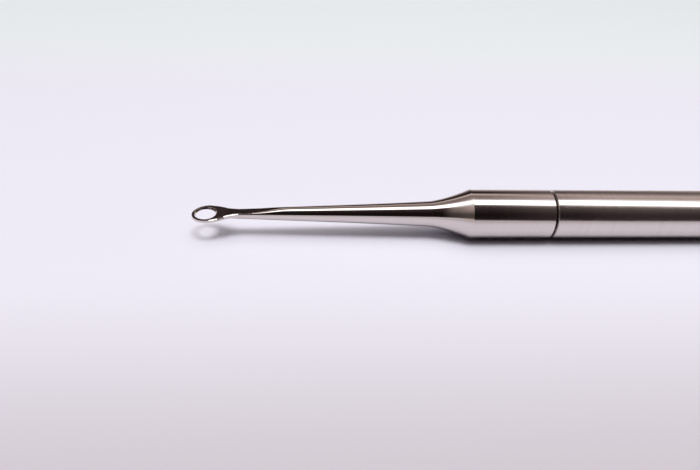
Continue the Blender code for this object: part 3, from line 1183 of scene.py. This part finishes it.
@dataclass(frozen=True)
class Studio:
    """Floor, reflection cards, lamps, world and camera.

    Attributes:
        camera_place: The camera's place in the frame.
        tilt: How far the camera looks down, in degrees.
        pan: How far it turns from +Y towards +X, in degrees.
        roll: How far it leans, in degrees.
        focal: Focal length in pixels of a picture 700 wide.
        card_radius: Distance of the reflection cards from the tool's axis, in metres.
        card_reach: How far the cards run to either side, in metres.
        tilt_lean: How far they lean towards the camera for each metre to the right, in degrees.
        tilt_bend: How much more they lean for each further metre, in degrees.
        tilt_reach: How far to either side the lean goes on growing, in metres.
        lamp_height: Height of the overhead lamps in metres.
        lamp_length: Their length along the tool in metres.
        key_lamp: Elevations of the key lamp's near and far edges in degrees, and its watts.
        soft_lamp: The same for the soft lamp.
        fill_from: Sine of the elevation from which the world's light starts.
        fill_high: Strength of that light straight overhead.
        floor_half: Half the floor's breadth in metres.
        floor_near: Where the painted shade on the floor's front fades out, as places on Y in
            metres.
        floor_far: Where its cool back starts.
        contact_shade_x: Where the painted shade under collar and handle starts, as places on X in
            metres.
        card_steps: Number of facets on the cards.
    """

    camera_place: tuple[float, float, float] = (-52.789, -78.603, 54.076)
    tilt: float = 34.4996
    pan: float = 5.1191
    roll: float = 2.8499
    focal: float = 580.0
    card_radius: float = 0.45
    card_reach: float = 4.0
    tilt_lean: float = 14.0
    tilt_bend: float = 55.0
    tilt_reach: float = 0.35
    lamp_height: float = 0.9
    lamp_length: float = 0.34
    key_lamp: tuple[float, float, float] = (70.0, 81.0, 2.36)
    soft_lamp: tuple[float, float, float] = (79.0, 90.0, 1.7)
    fill_from: float = 0.65
    fill_high: float = 1.93
    floor_half: float = 3.0
    floor_near: tuple[float, float] = (-0.051, -0.009)
    floor_far: tuple[float, float] = (0.06, 0.11)
    contact_shade_x: tuple[float, float] = (-0.032, -0.025)
    card_steps: int = 96

    def camera(self) -> None:
        """Stand the camera where the photograph was taken from."""
        tilt, pan, roll = (math.radians(a) for a in (self.tilt, self.pan, self.roll))
        ahead = math.cos(tilt)
        forward = Vector((math.sin(pan) * ahead, math.cos(pan) * ahead, -math.sin(tilt)))
        right = Vector((math.cos(pan), -math.sin(pan), 0))
        up = right.cross(forward)
        leaned_right = math.cos(roll) * right + math.sin(roll) * up
        leaned_up = -math.sin(roll) * right + math.cos(roll) * up
        turn = Matrix((leaned_right, leaned_up, -forward)).transposed().to_4x4()
        data = bpy.data.cameras.new("camera")
        data.sensor_fit = "HORIZONTAL"
        data.sensor_width = SENSOR_WIDTH
        data.lens = self.focal / PHOTO_WIDTH * SENSOR_WIDTH
        data.clip_start, data.clip_end = CLIP
        camera = bpy.data.objects.new("camera", data)
        camera.matrix_world = Matrix.Translation(Vector(self.camera_place) * MM) @ turn
        bpy.context.scene.collection.objects.link(camera)
        bpy.context.scene.camera = camera

    def lamp(self, name: str, low: float, high: float, power: float) -> None:
        """Hang a soft lamp overhead, as a strip along the tool.

        Args:
            name: The lamp's name.
            low: Elevation of its near edge from the tool, in degrees from the camera's side.
            high: Elevation of its far edge.
            power: Its power in watts.
        """
        near, far = (-self.lamp_height / math.tan(math.radians(edge)) for edge in (low, high))
        data = bpy.data.lights.new(name, "AREA")
        data.shape = "RECTANGLE"
        data.size = self.lamp_length
        data.size_y = far - near
        data.energy = power
        lamp = bpy.data.objects.new(name, data)
        lamp.location = (0.0, (near + far) / 2, self.lamp_height)
        lamp.visible_camera = lamp.visible_glossy = False
        bpy.context.scene.collection.objects.link(lamp)

    def world(self) -> None:
        """Light the tool softly from overhead, before a white background."""
        world = bpy.data.worlds.new("studio")
        world.use_nodes = True
        world.node_tree.nodes.clear()
        rows = {
            "rays": ("ShaderNodeLightPath", None),
            **PLACE,
            "seen": (MATH, "MAXIMUM", "rays.Is Camera Ray", "rays.Is Glossy Ray"),
            "shown": (MATH, "MAXIMUM", "seen", "rays.Is Transmission Ray"),
            "strength": (SPAN, SMOOTH, "at.Z", self.fill_from, 1.0, 0.0, self.fill_high),
            "fill": ("ShaderNodeBackground", None, linear("FFF4F1"), "strength"),
            "backdrop": ("ShaderNodeBackground", None, linear("ECECF2"), 1.0),
            "mixed": ("ShaderNodeMixShader", None, "shown", "fill", "backdrop"),
            "end": ("ShaderNodeOutputWorld", None, "mixed"),
        }
        add_nodes(world.node_tree, {}, rows)
        bpy.context.scene.world = world

    def floor_finish(self) -> Material:
        """White satin acrylic sheet, faintly lavender, with painted shade darkening its front and
        the floor under collar and handle.

        Returns:
            The floor's material.
        """
        # Painted shade: the floor darkens from EAECF9 to CAC7CF towards its front, on the camera's
        # side.
        front = {"Factor": "near", 6: linear("CAC7CF"), 7: linear("EAECF9")}
        held = {"operation": "MULTIPLY", "use_clamp": True}
        acrylic = {"Base Color": "sheet", "Roughness": 1.0, "Specular IOR Level": 0.0}
        # Painted shade: along collar and handle the floor is darker for light back off the steel,
        # so that the narrow shadow right under them is as dark as in the photograph.
        rows = {
            **PLACE,
            "rays": ("ShaderNodeLightPath", None),
            "near": (SPAN, SMOOTH, "at.Y", *self.floor_near),
            "far": (SPAN, SMOOTH, "at.Y", *self.floor_far),
            "front": (MIX, COLOURS, front),
            "whole": (MIX, COLOURS, {"Factor": "far", 6: "front", 7: linear("E8F1F5")}),
            "along": (SPAN, SMOOTH, "at.X", *self.contact_shade_x),
            "held": (MATH, held, "rays.Diffuse Depth", "along"),
            "sheet": (MIX, COLOURS, {"Factor": "held", 6: "whole", 7: linear("8A828A")}),
            "shader": ("ShaderNodeBsdfPrincipled", None, acrylic),
            "end": ("ShaderNodeOutputMaterial", None, "shader"),
        }
        return new_material("satin_white_acrylic", rows)

    def floor(self) -> None:
        """Lay the floor that the tool lies on."""
        mesh = bpy.data.meshes.new("floor")
        half = self.floor_half
        corners = [(-half, -half, 0), (half, -half, 0), (half, half, 0), (-half, half, 0)]
        mesh.from_pydata(corners, [], [(0, 1, 2, 3)])
        mesh.materials.append(self.floor_finish())
        show("floor", mesh)

    def card_finish(self) -> Material:
        """Glow of the cards, by how high they stand round the tool and how far along it.

        Returns:
            The cards' material.
        """
        lean, bend = math.radians(self.tilt_lean), math.radians(self.tilt_bend)
        material = new_material("studio_cards", {})
        tree = material.node_tree
        rows = {
            **PLACE,
            "height": (MATH, "SUBTRACT", "at.Z", AXIS_Z * MM),
            "near": (MATH, "MULTIPLY", "at.Y", -1.0),
            "angle": (MATH, "ARCTAN2", "height", "near"),
            "inside": (CLAMP, None, "at.X", -self.tilt_reach, self.tilt_reach),
            "leaned": (MATH, "MULTIPLY_ADD", "inside", bend, lean),
            "tilted": (MATH, "MULTIPLY_ADD", "leaned", "inside", "angle"),
            "share": (MATH, "DIVIDE", "tilted", math.pi),
            "rays": ("ShaderNodeLightPath", None),
        }
        known = add_nodes(tree, {}, rows)
        for i, (start, full, stops) in enumerate(CARDS):
            ramp = add_node(tree, "ShaderNodeValToRGB", feeds={0: known["share"]})
            self.set_stops(ramp.color_ramp, stops)
            known["ramp"] = ramp.outputs[0]
            mixed = {"Factor": "edge", 6: "colour", 7: "ramp"}
            aside = {"edge": (SPAN, SMOOTH, "at.X", start, full), "colour": (MIX, COLOURS, mixed)}
            add_nodes(tree, known, aside if i else {"colour": "ramp"})
        # The cards show in the steel, but the steel throws none of their light on to the floor,
        # which keeps the narrow shadow under the tool as dark as in the photograph.
        rows = {
            "seen": (MATH, {"operation": "SUBTRACT", "use_clamp": True}, 1.0, "rays.Diffuse Depth"),
            "strength": (MATH, "MULTIPLY", "seen", CARD_STRENGTH),
            "glow": ("ShaderNodeEmission", None, "colour", "strength"),
            "end": ("ShaderNodeOutputMaterial", None, "glow"),
        }
        add_nodes(tree, known, rows)
        return material

    def set_stops(self, ramp: ColorRamp, stops: dict[float, float]) -> None:
        """Give a ramp its stops.

        Args:
            ramp: The ramp, over the share of half a turn from the camera's side over the top.
            stops: Radiances by elevation in degrees.
        """
        while len(ramp.elements) > 1:
            ramp.elements.remove(ramp.elements[-1])
        for i, (elevation, radiance) in enumerate(stops.items()):
            element = ramp.elements.new(elevation / 180) if i else ramp.elements[0]
            element.position = elevation / 180
            tone = linear(next(code for limit, code in CARD_TONES if radiance <= limit))
            grey = sum(weight * part for weight, part in zip(LUMINANCE, tone))
            level = radiance / CARD_STRENGTH / grey
            element.color = (*(part * level for part in tone[:3]), 1.0)

    def cards(self) -> None:
        """Set cards round the tool that only its reflections show."""
        points = []
        for i in range(self.card_steps + 1):
            angle = math.pi * i / self.card_steps
            y = -self.card_radius * math.cos(angle)
            z = AXIS_Z * MM + self.card_radius * math.sin(angle)
            points += [(x, y, z) for x in (-self.card_reach, self.card_reach)]
        faces = [(i, i + 1, i + 3, i + 2) for i in range(0, 2 * self.card_steps, 2)]
        mesh = bpy.data.meshes.new("studio_cards")
        mesh.from_pydata(points, [], faces)
        mesh.materials.append(self.card_finish())
        cards = show("studio_cards", mesh)
        for ray in ("camera", "diffuse", "shadow", "transmission", "volume_scatter"):
            setattr(cards, f"visible_{ray}", False)

    def build(self) -> None:
        """Set up everything round the tool."""
        self.camera()
        self.floor()
        self.cards()
        self.lamp("key_lamp", *self.key_lamp)
        self.lamp("soft_lamp", *self.soft_lamp)
        self.world()
        bpy.context.scene.view_settings.view_transform = "Standard"


# What the cards send, as radiances by elevation in degrees from the camera's side over the top,
# and the tints that dim, middling and bright ones have.
CARD_STRENGTH = 3.0
CARD_TONES = [(0.045, "FFD5DC"), (0.62, "FFEBE4"), (3.0, "FFFFFF")]
CARDS_MIDDLE = {
    0: 0.8, 3.6: 0.8, 5: 0.06, 8: 0.02, 15: 0.01, 27: 0.006, 40: 0.009, 50: 0.015, 60: 0.02,
    68: 0.03, 76.5: 0.1, 78.5: 3, 100: 3, 103: 0.45, 110: 0.3, 116: 0.25, 122: 0.21, 128: 0.28,
    132: 0.45, 136.5: 0.62, 141: 0.62, 143: 0.2, 144.5: 0.02, 158: 0.015, 168: 0.2, 180: 0.28,
}
CARDS_LEFT = {
    0: 0.75, 4: 0.75, 8: 0.1, 14: 0.06, 24: 0.06, 30: 0.07, 36: 0.09, 42: 0.13, 48: 0.18, 60: 0.25,
    66: 0.28, 71: 0.42, 76: 0.8, 82: 1.5, 86: 2, 96: 2, 101: 1.3, 106: 0.6, 112: 0.38, 120: 0.33,
    131: 0.38, 138: 0.36, 142: 0.2, 144.5: 0.04, 158: 0.03, 165: 0.3, 180: 0.28,
}
CARDS_FAR_LEFT = {
    0: 0.6, 3.5: 0.59, 9: 0.16, 15: 0.083, 25: 0.083, 30: 0.1, 36: 0.137, 41: 0.2, 46: 0.28,
    51: 0.32, 57: 0.39, 62: 0.46, 67: 0.51, 73: 0.65, 78: 0.87, 83: 1.25, 89: 1.65, 94: 1.65,
    100: 1.43, 106: 0.8, 111: 0.41, 117: 0.35, 136: 0.41, 143: 0.28, 151: 0.12, 159: 0.12,
    168: 0.33, 180: 0.2,
}
CARDS_RIGHT = {
    0: 0.8, 3.6: 0.8, 5.5: 0.06, 12: 0.033, 32: 0.033, 41: 0.043, 51: 0.07, 60: 0.09, 66: 0.13,
    72: 0.25, 76.5: 1, 80: 3, 96: 3, 101: 1.5, 106: 0.8, 112: 0.5, 118: 0.42, 127: 0.62, 134: 0.45,
    145: 0.28, 153: 0.15, 164: 0.14, 176: 0.35, 180: 0.4,
}
CARDS_FAR_OUT = {
    0: 0.06, 4: 0.05, 10: 0.04, 60: 0.03, 90: 0.12, 120: 0.05, 180: 0.05,
}
# What shows beside the middle, with where on X in metres it starts and where it shows in full.
CARDS = [
    (0.0, 0.0, CARDS_MIDDLE),
    (-0.14, -0.21, CARDS_LEFT),
    (-0.21, -0.26, CARDS_FAR_LEFT),
    (-0.45, -0.80, CARDS_FAR_OUT),
    (0.09, 0.2, CARDS_RIGHT),
    (0.45, 0.70, CARDS_FAR_OUT),
]


def main() -> None:
    """Build the tool and its studio, piece by piece."""
    logging.basicConfig(level=logging.INFO, format="%(name)s: %(message)s")
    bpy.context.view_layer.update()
    turning = Turning()
    head = CuretteHead(turning).build()
    log.info("curette head: %d faces", len(head.data.polygons))
    seal = SealRing().build(turning)
    log.info("seal ring: %d faces", len(seal.data.polygons))
    handle = Handle(turning)
    satin = SATIN.build()
    tube = handle.tube(satin)
    log.info("handle tube: %d faces", len(tube.data.polygons))
    cap = handle.cap(satin)
    log.info("end cap: %d faces", len(cap.data.polygons))
    bush = handle.bush(bpy.data.materials[TURNED.name])
    log.info("thread bush: %d faces", len(bush.data.polygons))
    Studio().build()
    log.info("studio: floor, cards, lamps, world and camera")


if __name__ == "__main__":
    main()
